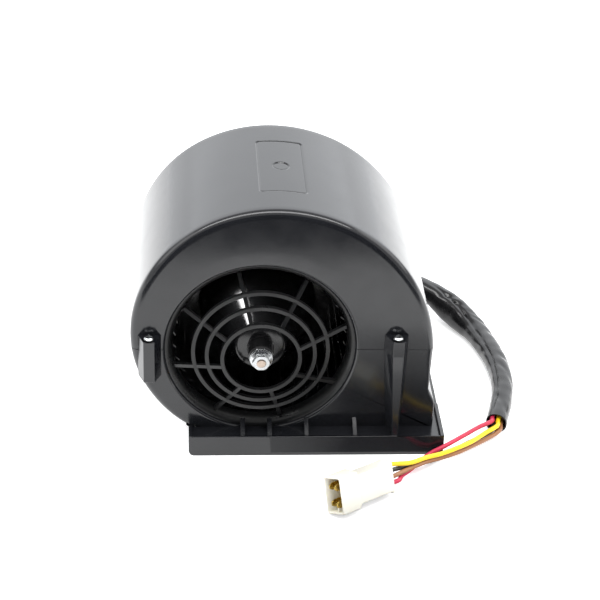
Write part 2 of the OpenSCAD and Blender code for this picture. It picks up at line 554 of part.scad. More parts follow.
module thrust_washers() color([0.30, 0.18, 0.10]) on_axis() for (z = [-20.0, 43.4]) translate([0, 0, z]) difference() {
  cylinder(r = 6.6, h = 1.0, $fn = 48);
  translate([0, 0, -1]) cylinder(r = shaft_r, h = 3, $fn = 48);
}
module hub_washer() color(steel) on_axis() translate([0, 0, -73.4]) difference() {
  cylinder(r = 7.4, h = 1.0, $fn = 48);
  translate([0, 0, -1]) cylinder(r = shaft_r, h = 3, $fn = 48);
}
module flange_nut() color([0.82, 0.83, 0.84]) on_axis() translate([0, 0, -79]) difference() {
  union() {
    intersection() {
      cylinder(r = 5.77, h = 4.6, $fn = 6);
      cylinder(r1 = 5.2, r2 = 9.8, h = 4.6, $fn = 48);
    }
    translate([0, 0, 4.2]) cylinder(r = 7.1, h = 1.4, $fn = 48);
    translate([0, 0, 3.2]) cylinder(r1 = 5.3, r2 = 7.0, h = 1.05, $fn = 48);
  }
  translate([0, 0, -1]) cylinder(r = thread_r, h = 9, $fn = 48);
}
module balance_clips() color(steel) on_axis() for (a = [35.25, 205.25]) rotate([0, 0, a])
  translate([wheel_r - 4.95, -3, -wheel_half - 0.8]) difference() {
    cube([3.2, 6, 4.6]);
    translate([0.8, -1, 0.8]) cube([5, 8, 5]);
  }

upper_casing();
lower_casing();
front_inlet_grille();
rear_inlet_mount();
casing_screws();
motor_yoke();
field_magnets();
magnet_clips();
front_bearing();
rear_bearing();
bearing_retainers();
motor_end_cap();
brush_card();
brush_holders();
choke_coils();
motor_screws();
isolator_ring();
isolator_bushes();
resistor_carrier();
resistor_coils();
thermal_fuse();
resistor_screws();
terminal_cover();
lead_grommet();
motor_leads();
shaft();
armature_core();
armature_windings();
commutator();
impeller();
thrust_washers();
hub_washer();
flange_nut();
balance_clips();
brush_upper();
brush_lower();
brush_spring_upper();
brush_spring_lower();
lead_sleeve();
wire_red();
wire_yellow();
wire_brown();
wire_black();
connector_housing();
connector_tabs();
connector_lock();
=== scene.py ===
import json
import math
import random

import bmesh
import bpy
from mathutils import Matrix, Vector


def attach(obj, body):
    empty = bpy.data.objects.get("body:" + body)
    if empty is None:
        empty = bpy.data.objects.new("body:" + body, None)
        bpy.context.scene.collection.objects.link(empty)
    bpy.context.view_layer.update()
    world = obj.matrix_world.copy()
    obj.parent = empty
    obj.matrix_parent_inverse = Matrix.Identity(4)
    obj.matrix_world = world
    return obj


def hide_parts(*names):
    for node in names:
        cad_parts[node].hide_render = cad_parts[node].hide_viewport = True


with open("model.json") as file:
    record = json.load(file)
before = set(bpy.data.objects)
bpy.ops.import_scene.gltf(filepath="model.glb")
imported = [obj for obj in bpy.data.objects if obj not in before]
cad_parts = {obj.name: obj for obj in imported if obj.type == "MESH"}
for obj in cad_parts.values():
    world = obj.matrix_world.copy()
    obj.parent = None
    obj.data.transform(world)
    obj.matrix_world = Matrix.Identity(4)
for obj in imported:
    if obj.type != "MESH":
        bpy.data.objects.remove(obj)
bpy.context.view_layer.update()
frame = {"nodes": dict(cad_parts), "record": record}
random.seed(11)
NODES = frame["nodes"]
SCENE = bpy.context.scene
MM = 0.001


def link(ob):
    SCENE.collection.objects.link(ob)
    return ob


# ---------------------------------------------------------------- camera
PITCH, YAW, ROLL = math.radians(31.422), math.radians(4.516), math.radians(2.364)
fwd = Vector((math.sin(YAW) * math.cos(PITCH), math.cos(YAW) * math.cos(PITCH), -math.sin(PITCH)))
side = Vector((math.cos(YAW), -math.sin(YAW), 0))
over = side.cross(fwd)
cam_r = side * math.cos(ROLL) + over * math.sin(ROLL)
cam_u = -side * math.sin(ROLL) + over * math.cos(ROLL)
cam = bpy.data.cameras.new("camera")
cam.sensor_width = 36
cam.lens = 105.6
cam.clip_start, cam.clip_end = 0.05, 50
cam_ob = link(bpy.data.objects.new("camera", cam))
cam_ob.matrix_world = Matrix((
    (cam_r.x, cam_u.x, -fwd.x, -0.08863),
    (cam_r.y, cam_u.y, -fwd.y, -1.00898),
    (cam_r.z, cam_u.z, -fwd.z, 0.69135),
    (0, 0, 0, 1)))
SCENE.camera = cam_ob


# ---------------------------------------------------------------- materials
def new_mat(name):
    m = bpy.data.materials.new(name)
    m.use_nodes = True
    t = m.node_tree
    b = t.nodes["Principled BSDF"]
    return m, t, b


def coords(t, scale=1000.0, kind="Object"):
    """Object coordinates in millimetres."""
    c = t.nodes.new("ShaderNodeTexCoord")
    s = t.nodes.new("ShaderNodeVectorMath")
    s.operation = "SCALE"
    s.inputs["Scale"].default_value = scale
    t.links.new(c.outputs[kind], s.inputs[0])
    return s.outputs[0]


def noise(t, vec, scale, detail=3.0, rough=0.5):
    n = t.nodes.new("ShaderNodeTexNoise")
    n.inputs["Scale"].default_value = scale
    n.inputs["Detail"].default_value = detail
    n.inputs["Roughness"].default_value = rough
    t.links.new(vec, n.inputs["Vector"])
    return n.outputs["Fac"]


def remap(t, fac, lo, hi, a=0.3, b=0.7):
    r = t.nodes.new("ShaderNodeMapRange")
    r.inputs["From Min"].default_value = a
    r.inputs["From Max"].default_value = b
    r.inputs["To Min"].default_value = lo
    r.inputs["To Max"].default_value = hi
    t.links.new(fac, r.inputs["Value"])
    return r.outputs["Result"]


def ramp(t, fac, c0, c1, p0=0.35, p1=0.65):
    r = t.nodes.new("ShaderNodeValToRGB")
    r.color_ramp.elements[0].position = p0
    r.color_ramp.elements[0].color = (*c0, 1)
    r.color_ramp.elements[1].position = p1
    r.color_ramp.elements[1].color = (*c1, 1)
    t.links.new(fac, r.inputs["Fac"])
    return r.outputs["Color"]


def bump(t, b, fac, strength, dist, prev=None):
    n = t.nodes.new("ShaderNodeBump")
    n.inputs["Strength"].default_value = strength
    n.inputs["Distance"].default_value = dist
    t.links.new(fac, n.inputs["Height"])
    if prev is not None:
        t.links.new(prev, n.inputs["Normal"])
    t.links.new(n.outputs["Normal"], b.inputs["Normal"])
    return n.outputs["Normal"]


def moulded(name, c0, c1, rough, spread=0.06, grain=0.5, grain_s=0.25, wave_s=0.05, ior=1.5, coat=0.0, sss=0.0):
    """Moulded plastic: flow marks in the colour, uneven polish, fine grain and slight sink."""
    m, t, b = new_mat(name)
    v = coords(t)
    t.links.new(ramp(t, noise(t, v, 0.035, 4), c0, c1), b.inputs["Base Color"])
    t.links.new(remap(t, noise(t, v, 0.06, 5, 0.6), rough - spread, rough + spread), b.inputs["Roughness"])
    n1 = bump(t, b, noise(t, v, grain, 3), grain_s, 0.00004)
    bump(t, b, noise(t, v, 0.045, 2), wave_s, 0.0006, n1)
    b.inputs["IOR"].default_value = ior
    if coat:
        b.inputs["Coat Weight"].default_value = coat
        b.inputs["Coat Roughness"].default_value = 0.12
    if sss:
        b.inputs["Subsurface Weight"].default_value = sss
        b.inputs["Subsurface Radius"].default_value = (0.002, 0.0016, 0.001)
    return m


def metal(name, c0, c1, rough, spread=0.08, scale=0.4, stretch=None, bmp=0.15):
    m, t, b = new_mat(name)
    v = coords(t)
    if stretch:
        mp = t.nodes.new("ShaderNodeMapping")
        mp.inputs["Scale"].default_value = stretch
        t.links.new(v, mp.inputs["Vector"])
        v = mp.outputs["Vector"]
    f = noise(t, v, scale, 5, 0.6)
    t.links.new(ramp(t, f, c0, c1), b.inputs["Base Color"])
    t.links.new(remap(t, noise(t, v, scale * 2.3, 4), rough - spread, rough + spread), b.inputs["Roughness"])
    b.inputs["Metallic"].default_value = 1.0
    bump(t, b, noise(t, v, scale * 3, 3), bmp, 0.00004)
    return m


MAT = {
    "black_casing": moulded("black_casing", (0.0072, 0.0078, 0.0094), (0.0098, 0.0104, 0.0122), 0.16, 0.035, 0.9, 0.12, 0.05),
    "black_wheel": moulded("black_wheel", (0.004, 0.0042, 0.0045), (0.0065, 0.0066, 0.007), 0.17, 0.05, 0.8, 0.15, 0.05),
    "zinc_steel": metal("zinc_steel", (0.40, 0.415, 0.42), (0.50, 0.51, 0.515), 0.23, 0.05, 2.5, None, 0.06),
    "motor_steel": metal("motor_steel", (0.42, 0.43, 0.44), (0.60, 0.61, 0.62), 0.36, 0.08, 0.15),
    "ferrite": moulded("ferrite", (0.03, 0.03, 0.032), (0.055, 0.055, 0.058), 0.6, 0.1, 0.6, 0.6),
    "sintered_bronze": metal("sintered_bronze", (0.42, 0.28, 0.14), (0.58, 0.42, 0.22), 0.45, 0.08, 1.5, None, 0.4),
    "brown_laminate": moulded("brown_laminate", (0.12, 0.06, 0.025), (0.19, 0.10, 0.045), 0.5, 0.08, 1.2, 0.3),
    "contact_brass": metal("contact_brass", (0.52, 0.37, 0.09), (0.70, 0.51, 0.14), 0.24, 0.08, 0.5),
    "copper": metal("copper", (0.55, 0.22, 0.10), (0.72, 0.33, 0.16), 0.32, 0.1, 0.9),
    "rubber_black": moulded("rubber_black", (0.012, 0.012, 0.012), (0.02, 0.02, 0.02), 0.5, 0.08, 1.2, 0.5),
    "ceramic_cream": moulded("ceramic_cream", (0.62, 0.56, 0.42), (0.72, 0.66, 0.52), 0.6, 0.1, 1.0, 0.4),
    "resistance_wire": metal("resistance_wire", (0.38, 0.35, 0.32), (0.5, 0.47, 0.43), 0.4, 0.1, 1.2),
    "shaft_steel": metal("shaft_steel", (0.36, 0.29, 0.24), (0.48, 0.40, 0.34), 0.32, 0.08, 1.6, (1, 0.15, 1)),
    "core_steel": metal("core_steel", (0.25, 0.26, 0.27), (0.40, 0.41, 0.42), 0.45, 0.08, 1.2, (0.1, 2.5, 0.1)),
    "carbon": moulded("carbon", (0.02, 0.02, 0.02), (0.04, 0.04, 0.04), 0.55, 0.1, 1.5, 0.5),
    "spring_steel": metal("spring_steel", (0.55, 0.56, 0.57), (0.72, 0.73, 0.74), 0.3, 0.08, 1.0),
    "sleeve_vinyl": moulded("sleeve_vinyl", (0.0045, 0.0045, 0.005), (0.008, 0.008, 0.0085), 0.24, 0.07, 0.35, 0.3, 0.5, ior=1.44),
    "lead_red": moulded("lead_red", (0.44, 0.018, 0.055), (0.58, 0.032, 0.085), 0.36, 0.06, 0.7, 0.2, 0.1, sss=0.05),
    "lead_yellow": moulded("lead_yellow", (0.80, 0.52, 0.008), (0.90, 0.64, 0.016), 0.36, 0.06, 0.7, 0.2, 0.1, sss=0.05),
    "lead_brown": moulded("lead_brown", (0.26, 0.115, 0.05), (0.34, 0.16, 0.075), 0.36, 0.06, 0.7, 0.2, 0.1, sss=0.05),
    "lead_black": moulded("lead_black", (0.012, 0.012, 0.012), (0.02, 0.02, 0.02), 0.36, 0.06, 0.7, 0.2, 0.1),
    "connector_ivory": moulded("connector_ivory", (0.765, 0.745, 0.655), (0.82, 0.80, 0.72), 0.34, 0.06, 0.5, 0.25, 0.08, sss=0.2),
}
SLOT = {s["node"]: s["material_slot"] for s in frame["record"]["subparts"]}

for name, ob in NODES.items():
    mat = MAT[SLOT[name]]
    for i in range(len(ob.material_slots)):
        ob.material_slots[i].link = "OBJECT"
        ob.material_slots[i].material = mat


# ---------------------------------------------------------------- mesh helpers
def smooth_path(points, n):
    P = [Vector(p) for p in points]
    out = []
    for i in range(len(P) - 1):
        a = 2 * P[0] - P[1] if i == 0 else P[i - 1]
        b, c = P[i], P[i + 1]
        d = 2 * c - b if i + 2 > len(P) - 1 else P[i + 2]
        for k in range(n):
            t = k / n
            out.append(0.5 * (2 * b + (c - a) * t + (2 * a - 5 * b + 4 * c - d) * t * t + (3 * b - a - 3 * c + d) * t ** 3))
    out.append(P[-1])
    return out


def path_length(P):
    return sum((P[i + 1] - P[i]).length for i in range(len(P) - 1))


def to_object(bm, name, mat, sharp=30):
    me = bpy.data.meshes.new(name)
    for f in bm.faces:
        f.smooth = True
    lim = math.radians(sharp)
    for e in bm.edges:
        e.smooth = len(e.link_faces) == 2 and e.calc_face_angle(0) < lim
    bm.to_mesh(me)
    bm.free()
    me.materials.append(mat)
    return link(bpy.data.objects.new(name, me))


def add_bevel(ob, width, segs=3, by="ANGLE", ang=30, clamp=True):
    m = ob.modifiers.new("edge", "BEVEL")
    m.width = width * MM
    m.segments = segs
    m.limit_method = by
    m.angle_limit = math.radians(ang)
    m.harden_normals = True
    m.use_clamp_overlap = clamp
    return m


def from_cad(node, name, width, segs=3, weight=None, body="housing", flat=0.4, drop=None, skin=None):
    """A finer copy of a CAD node: coplanar triangles merged, edges rounded, shaded smooth."""
    src = NODES[node]
    bm = bmesh.new()
    bm.from_mesh(src.data)
    bm.transform(src.matrix_world)
    bmesh.ops.remove_doubles(bm, verts=bm.verts[:], dist=2e-6)
    bmesh.ops.dissolve_limit(bm, angle_limit=math.radians(flat), verts=bm.verts[:], edges=bm.edges[:])
    lim = math.radians(24)
    if drop is not None:
        bmesh.ops.delete(bm, geom=[f for f in bm.faces if drop(f)], context="FACES")
    if weight is not None:
        lay = bm.edges.layers.float.new("bevel_weight_edge")
        for e in bm.edges:
            if len(e.link_faces) == 2 and e.calc_face_angle(0) > lim:
                e[lay] = weight(e)
    if skin is not None:
        skin(bm)
    ob = to_object(bm, name, MAT[SLOT[node]], 24)
    if width:
        add_bevel(ob, width, segs, "ANGLE" if weight is None else "WEIGHT", 28, weight is None)
    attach(ob, body)
    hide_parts(node)
    return ob


def frames(P):
    """Tangent, sideways and upward directions along a route."""
    out = []
    n = len(P)
    s = None
    for i in range(n):
        t = (P[min(i + 1, n - 1)] - P[max(i - 1, 0)]).normalized()
        if s is None:
            s = t.cross(Vector((0, 0, 1))).normalized()
        else:
            s = (s - t * s.dot(t)).normalized()
            flat = t.cross(Vector((0, 0, 1)))
            if flat.length > 0.3:
                s = (s * 0.7 + flat.normalized() * 0.3)
                s = (s - t * s.dot(t)).normalized()
        out.append((t, s, s.cross(t).normalized() * 1.0))
    return out


# ---------------------------------------------------------------- cords
SLEEVE = [(32.2, 83.5, 38), (32.2, 89, 38), (36, 96, 37.2), (44, 101.5, 34.8), (57, 105, 30.6), (72, 104, 27), (87, 101, 22.6),
          (98.5, 97, 17.8), (109.5, 88, 12.2), (118, 77, 8.8), (125, 64, 7.5), (130.8, 43, 7.2), (134.4, 20, 7.2),
          (134.4, -3, 7.2), (130.6, -25, 7.2), (123, -51, 7.2)]
WIRES = {
    "red": [(120, -50.2, 10.6), (118.9, -54, 10.6), (109.5, -60, 10.2), (96.7, -70.6, 10.2), (84.4, -78.7, 8.5), (74.8, -81.1, 4.2), (67, -87.4, 2.1),
            (60, -97, 3.2), (53, -107.5, 6.2), (50.2, -115.3, 8.7), (45.2, -118.6, 9)],
    "yellow": [(123.9, -51.3, 9.4), (122.5, -56.5, 8.6), (115, -61.5, 7.2), (103, -72.5, 7.4), (91.5, -80.5, 7.8), (81, -87.5, 8.8),
               (70, -94, 10.6), (58.5, -103, 13.2), (45.5, -107.7, 15.6), (40.5, -111, 15.9)],
    "brown": [(125.9, -51.8, 5.8), (124.6, -56.4, 5), (118.5, -61, 3.4), (105.5, -70.5, 3.2), (93, -79, 3.4), (81, -86.5, 4.6),
              (70.5, -93.5, 6.8), (59.5, -102.5, 8.8), (48.6, -112.8, 11), (43.6, -116.1, 11.3)],
    "black": [(121.5, -50.6, 5.4), (120.4, -54.6, 4.2), (113, -58.5, 1.8), (101.5, -66.5, 1.8), (89, -76, 1.8), (77, -84.5, 1.8),
              (68.5, -91.5, 4.6), (57, -99.5, 7.6), (47.1, -110.2, 13.3), (42.1, -113.5, 13.6)],
}


# short slanting wrinkles: place along the sleeve, angle round it, depth, spread
WRINKLES = [(0.38 + 0.047 * i + 0.012 * random.uniform(-1, 1), 75 + 70 * random.uniform(-1, 1), 0.55 + 0.45 * random.random(), 12 + 9 * random.random()) for i in range(13)]


def make_sleeve():
    P = smooth_path([[c * MM for c in p] for p in SLEEVE], 10)
    total = path_length(P)
    fr = frames(P)
    bm = bmesh.new()
    m = 56
    rings = []
    s = 0.0

    def ring(c, t, u, v, s, inner=0.0):
        k = s / total
        # soft vinyl: squashed flatter where it leaves, nearly round at its open end
        wide = 7.0 + 2.6 * math.exp(-((k - 0.42) / 0.17) ** 2) + 0.5 * math.exp(-((k - 0.72) / 0.15) ** 2)
        high = 7.0 + 3.4 * math.exp(-((k - 0.42) / 0.075) ** 2) + 0.3 * math.exp(-((k - 0.72) / 0.15) ** 2)
        start = min(1.0, s / 0.03)
        wide = 7.0 + (wide - 7.0) * start
        high = 7.0 + (high - 7.0) * start
        vs = []
        for j in range(m):
            a = 2 * math.pi * j / m
            p = 2.35
            ca, sa = math.cos(a), math.sin(a)
            q = (abs(ca) ** p + abs(sa) ** p) ** (-1 / p)
            x, z = (wide - inner) * q * ca, (high - inner) * q * sa
            # long crease on the upper side, fading out at both ends
            d = math.degrees(a) - (68 + 16 * math.sin(5 * k + 0.6))
            dent = 1.5 * math.exp(-(d / 8) ** 2) * max(0, min(1, (k - 0.30) / 0.1)) * max(0, min(1, (1.0 - k) / 0.16))
            for kc, ac, amp, wa in WRINKLES:
                dd = (math.degrees(a) - ac - 900 * (k - kc) + 180) % 360 - 180
                dent += amp * math.exp(-(dd / wa) ** 2 - ((k - kc) / 0.022) ** 2)
            lump = 0.10 * math.sin(9 * k * 6.28 + 2 * a) + 0.08 * math.sin(23 * k * 6.28 - a)
            f = 1 - (dent - lump * start) / max(1e-6, math.hypot(x, z))
            q = c + u * (x * f * MM) + v * (z * f * MM)
            q.z = max(q.z, 0.00006)
            vs.append(bm.verts.new(q))
        return vs

    for i, c in enumerate(P):
        t, u, v = fr[i]
        rings.append(ring(c, t, u, v, s))
        if i < len(P) - 1:
            s += (P[i + 1] - c).length
    for a, b in zip(rings, rings[1:]):
        for j in range(m):
            bm.faces.new((a[j], a[(j + 1) % m], b[(j + 1) % m], b[j]))
    bm.faces.new(list(reversed(rings[0])))
    # rolled lip and hollow end
    t, u, v = fr[-1]
    last = rings[-1]
    for depth, inner in ((0.0, 0.35), (0.0, 0.75), (-1.2, 0.9), (-6, 0.95), (-12, 1.0)):
        new = ring(P[-1] + t * (depth * MM), t, u, v, total, inner)
        for j in range(m):
            bm.faces.new((last[j], last[(j + 1) % m], new[(j + 1) % m], new[j]))
        last = new
    bm.faces.new(last)
    bmesh.ops.recalc_face_normals(bm, faces=bm.faces[:])
    ob = to_object(bm, "cord_sleeve", MAT["sleeve_vinyl"], 60)
    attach(ob, "housing")
    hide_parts("lead_sleeve")
    return ob


def make_wire(colour, route):
    P = smooth_path([[c * MM for c in p] for p in route], 8)
    t0 = Vector((-0.28, -0.96, 0)).normalized()
    P = [P[0] - t0 * 0.010, P[0] - t0 * 0.005] + P
    total = path_length(P)
    cu = bpy.data.curves.new("cord_wire_" + colour, "CURVE")
    cu.dimensions = "3D"
    sp = cu.splines.new("POLY")
    sp.points.add(len(P) - 1)
    for q, p in zip(sp.points, P):
        q.co = (*p, 1)
    cu.bevel_depth = 1.5 * MM
    cu.bevel_resolution = 5
    cu.use_fill_caps = True
    sp.use_smooth = True
    ob = link(bpy.data.objects.new("cord_wire_" + colour, cu))
    cu.materials.append(MAT["lead_" + colour])
    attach(ob, "housing")
    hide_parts("wire_" + colour)
    return ob, P, total


sleeve = make_sleeve()
wires = {k: make_wire(k, r) for k, r in WIRES.items()}


# ---------------------------------------------------------------- connector
CONN = Matrix.Translation((0.0048, -0.1405, 0.015)) @ Matrix.Rotation(math.radians(214), 4, "Z") @ Matrix.Rotation(math.radians(-3.2), 4, "Y") @ Matrix.Rotation(math.radians(20), 4, "X")


def box_into(bm, lo, hi, M=Matrix.Identity(4)):
    vs = [bm.verts.new(M @ Vector((x * MM, y * MM, z * MM))) for x in (lo[0], hi[0]) for y in (lo[1], hi[1]) for z in (lo[2], hi[2])]
    for q in ((0, 1, 3, 2), (4, 6, 7, 5), (0, 4, 5, 1), (2, 3, 7, 6), (0, 2, 6, 4), (1, 5, 7, 3)):
        bm.faces.new([vs[i] for i in q])


def socket_shell():
    """Ivory four-way housing: thin-walled open mouth, stepped rear body, rounded moulding edges."""
    bm = bmesh.new()

    def loop(x, hy, hz, r, top=0.0, bot=0.0, n=5):
        vs = []
        for cy, cz, a0 in ((hy - r, hz + top - r, 0), (-hy + r, hz + top - r, 90), (-hy + r, -hz - bot + r, 180), (hy - r, -hz - bot + r, 270)):
            for k in range(n + 1):
                a = math.radians(a0 + 90 * k / n)
                y = cy + r * math.cos(a)
                back = 3.4 * max(0.0, min(1.0, (y + 5.0) / 9.5)) if x > -1.0 else 0.0
                vs.append(bm.verts.new(CONN @ Vector(((x - back) * MM, y * MM, (cz + r * math.sin(a)) * MM))))
        return vs

    rings = [loop(-13.6, 4.3, 10.6, 0.8), loop(-13.6, 4.95, 11.25, 0.8), loop(-5.2, 4.96, 11.26, 0.8), loop(-0.35, 4.98, 11.28, 0.8), loop(-0.05, 5.2, 11.5, 0.9),
             loop(-0.02, 5.75, 12.05, 1.1), loop(-0.35, 6.12, 12.42, 1.2), loop(-0.8, 6.18, 12.48, 1.2), loop(-5.2, 6.2, 12.5, 1.2), loop(-16.6, 6.18, 12.48, 1.2),
             loop(-17.3, 6.1, 12.3, 1.2), loop(-17.8, 6.0, 11.2, 1.2), loop(-18.1, 5.97, 10.1, 1.1), loop(-18.6, 5.95, 9.78, 1.0),
             loop(-43.4, 5.95, 9.75, 1.0), loop(-43.8, 5.95, 10.1, 1.0), loop(-44.2, 5.95, 10.72, 1.0), loop(-45.4, 5.95, 10.72, 1.0),
             loop(-45.85, 5.7, 10.4, 1.0), loop(-45.95, 5.2, 9.6, 1.0)]
    for a, b in zip(rings, rings[1:]):
        for j in range(len(a)):
            bm.faces.new((a[j], a[(j + 1) % len(a)], b[(j + 1) % len(a)], b[j]))
    bm.faces.new(rings[0])
    bm.faces.new(list(reversed(rings[-1])))
    # key in the mouth
    box_into(bm, (-13.8, -0.45, -11.27), (-4.0, 0.45, -8.9), CONN)
    bmesh.ops.recalc_face_normals(bm, faces=bm.faces[:])
    ob = to_object(bm, "connector_body", MAT["connector_ivory"], 38)
    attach(ob, "housing")
    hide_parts("connector_housing")
    return ob


def blades():
    """Four flat brass tabs with tapered tips, standing in the mouth."""
    bm = bmesh.new()
    for y in (-2.6, 2.6):
        for z in (-5.6, 5.6):
            prof = [(-14.8, 2.35), (-3.4, 2.35), (-1.9, 1.6), (-1.3, 1.1)]
            for sgn in (1,):
                pts = [(x, w) for x, w in prof] + [(x, -w) for x, w in reversed(prof)]
                lo = [bm.verts.new(CONN @ Vector((x * MM, (y - 0.38) * MM, (z + w) * MM))) for x, w in pts]
                hi = [bm.verts.new(CONN @ Vector((x * MM, (y + 0.38) * MM, (z + w) * MM))) for x, w in pts]
                bm.faces.new(lo)
                bm.faces.new(list(reversed(hi)))
                for i in range(len(pts)):
                    j = (i + 1) % len(pts)
                    bm.faces.new((lo[i], hi[i], hi[j], lo[j]))
            box_into(bm, (-13.7, y - 1.05, z - 2.55), (-13.05, y + 1.05, z + 2.55), CONN)
    bmesh.ops.recalc_face_normals(bm, faces=bm.faces[:])
    ob = to_object(bm, "connector_blades", MAT["contact_brass"], 30)
    add_bevel(ob, 0.16, 2)
    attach(ob, "housing")
    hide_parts("connector_tabs")
    return ob


connector = socket_shell()
tabs = blades()
lock = from_cad("connector_lock", "connector_latch", 0.4, 2)


# ---------------------------------------------------------------- casing
AX, AZ, HALF = -38.0, 74.1, 63.0
SCROLL = (117, 112.4, 108.2, 104.4, 100.3, 94.9, 88.2, 82.9, 78.4, 74.6, 72)
RIGHT = ((77.7, 12.6), (77.7, 32), (75.2, 38), (73, 42), (73.8, 60), (74.4, 74.1))


def scroll_at(a):
    """Scroll radius in millimetres at an angle in degrees."""
    i = max(0, min(len(SCROLL) - 4, int(a // 30)))
    t = a / 30 - i
    p, q, r, u = SCROLL[i:i + 4]
    return 0.5 * (2 * q + (r - p) * t + (2 * p - 5 * q + 4 * r - u) * t * t + (3 * q - p - 3 * r + u) * t ** 3)


def scroll_pt(a):
    k = scroll_at(a)
    return Vector((AX + k * math.cos(math.radians(a)), AZ + k * math.sin(math.radians(a))))


def right_pt(z):
    for (x0, z0), (x1, z1) in zip(RIGHT, RIGHT[1:]):
        if z <= z1 + 1e-9:
            return Vector((x0 + (x1 - x0) * (z - z0) / (z1 - z0), z))
    return Vector(RIGHT[-1])


def outline_gap(x, z):
    """Distance of a point outside the casing's outline, in millimetres."""
    dx, dz = x - AX, z - AZ
    a = math.degrees(math.atan2(dz, dx)) % 360
    if a <= 235:
        return math.hypot(dx, dz) - scroll_at(a)
    if dx > 0:
        return x - right_pt(min(74.1, max(12.6, z))).x
    return -99.0


def ease(t):
    t = max(0.0, min(1.0, t))
    return t * t * (3 - 2 * t)


def box_sdf(x, y, hx, hy, r):
    qx, qy = abs(x) - hx + r, abs(y) - hy + r
    return math.hypot(max(qx, 0), max(qy, 0)) + min(max(qx, qy), 0) - r


def label_depth(x, y):
    """Blank label field: a shallow recess with a fine groove round it and a round dimple."""
    d = box_sdf(x + 24.7, y, 14.9, 35, 2.2)
    dep = 0.28 * ease((0.3 - d) / 0.6) + 0.42 * math.exp(-(d / 0.42) ** 2)
    c = math.hypot(x + 24.7, y) - 5.0
    return dep + 0.4 * ease((0.3 - c) / 0.6) + 0.35 * math.exp(-(c / 0.4) ** 2)


LIP = ((61.3, -61.2), (61.7, -61.85), (62.1, -62.35), (62.6, -62.75), (63.2, -62.95), (64.0, -63.0))


def skin_column(inner, o, n, r, ys, depth=0.0, label=False):
    """Points of one column of the casing's outer skin, from the front inlet's lip to the rear inlet's lip."""
    ca, sa = math.cos(math.radians(inner)), math.sin(math.radians(inner))
    half = []
    for k, y in LIP:
        half.append((AX + k * ca, y + depth, AZ + k * sa))
    q0 = Vector((AX + 64 * ca, AZ + 64 * sa))
    q1 = o - n * (r + 0.5)
    for t in (0.3, 0.65, 1.0):
        q = q0.lerp(q1, t)
        half.append((q.x, -HALF + depth, q.y))
    for k in range(8):
        f = math.radians(90 * k / 7)
        e = o - n * (r * (1 - math.sin(f)) + depth * math.sin(f))
        half.append((e.x, -HALF + r * (1 - math.cos(f)) + depth * math.cos(f), e.y))
    mid = []
    for y in ys:
        d = depth
        if label and abs(y) < 37:
            d += label_depth(o.x, y)
        e = o - n * d
        mid.append((e.x, y, e.y))
    return half + mid + [(x, -y, z) for x, y, z in reversed(half)]


def skin_grid(bm, cols):
    rows = [[bm.verts.new((x * MM, y * MM, z * MM)) for x, y, z in c] for c in cols]
    faces = []
    for a, b in zip(rows, rows[1:]):
        for i in range(len(a) - 1):
            faces.append(bm.faces.new((a[i], a[i + 1], b[i + 1], b[i])))
    f = faces[len(faces) // 2]
    f.normal_update()
    c = f.calc_center_median()
    out = Vector((c.x - AX * MM, 0, c.z - AZ * MM))
    if abs(c.y) > 0.0629:
        out = Vector((0, c.y, 0))
    if f.normal.dot(out) < 0:
        for g in faces:
            g.normal_flip()


def scroll_normal(a):
    d = scroll_pt(min(234.5, a + 0.5)) - scroll_pt(a - 0.5)
    return Vector((d.y, -d.x)).normalized()


def prism(bm, pts, z0, z1):
    lo = [bm.verts.new((x * MM, y * MM, z0 * MM)) for x, y in pts]
    hi = [bm.verts.new((x * MM, y * MM, z1 * MM)) for x, y in pts]
    fs = [bm.faces.new(hi), bm.faces.new(list(reversed(lo)))]
    for i in range(len(pts)):
        j = (i + 1) % len(pts)
        fs.append(bm.faces.new((lo[i], lo[j], hi[j], hi[i])))
    bmesh.ops.recalc_face_normals(bm, faces=fs)


LEFT_PAD = ((-116.35, -57), (-116.35, -62.98), (-114.9, -66.6), (-103.2, -66.6), (-101.65, -62.98), (-101.65, -57))
BAND = [-58 + 3 * i for i in range(1, 7)] + [-38 + 0.4 * i for i in range(191)] + [58 - 3 * i for i in range(6, 0, -1)]
BAND_FEW = [-58 + 7.25 * i for i in range(1, 16)]


def upper_skin(bm):
    cols = []
    for h, dep in ((0, 0.38), (0.16, 0.2), (0.42, 0.0)):
        a, b = math.degrees(math.asin(h / 112.4)), math.degrees(math.asin(h / 64))
        cols.append(skin_column(b, scroll_pt(a), Vector((1, 0)) if h == 0 else scroll_normal(max(0.5, a)), 5.0, BAND, dep))
    angles = [1 + 2 * i for i in range(36)] + [72.6 + 0.225 * i for i in range(86)] + [93 + 2 * i for i in range(44)]
    for a in angles:
        near = min(abs(a - 0), abs(a - 180))
        inner = a if near > 8 else (a + (0.75 * a * (1 - near / 8)) * 0.6 if a < 90 else a - (0.6 * 0.32 * (180 - a) * (1 - near / 8)))
        cols.append(skin_column(inner, scroll_pt(a), scroll_normal(a), 5.0, BAND, 0.0, 72 < a < 92.5))
    for h, dep in ((0.42, 0.0), (0.16, 0.2), (0, 0.38)):
        a, b = 180 - math.degrees(math.asin(h / 82.9)), 180 - math.degrees(math.asin(h / 64))
        cols.append(skin_column(b, scroll_pt(a), scroll_normal(a), 5.0, BAND, dep))
    skin_grid(bm, cols)
    for m in (1, -1):
        prism(bm, [(x, y * m) for x, y in LEFT_PAD], 74.15, 85.42)


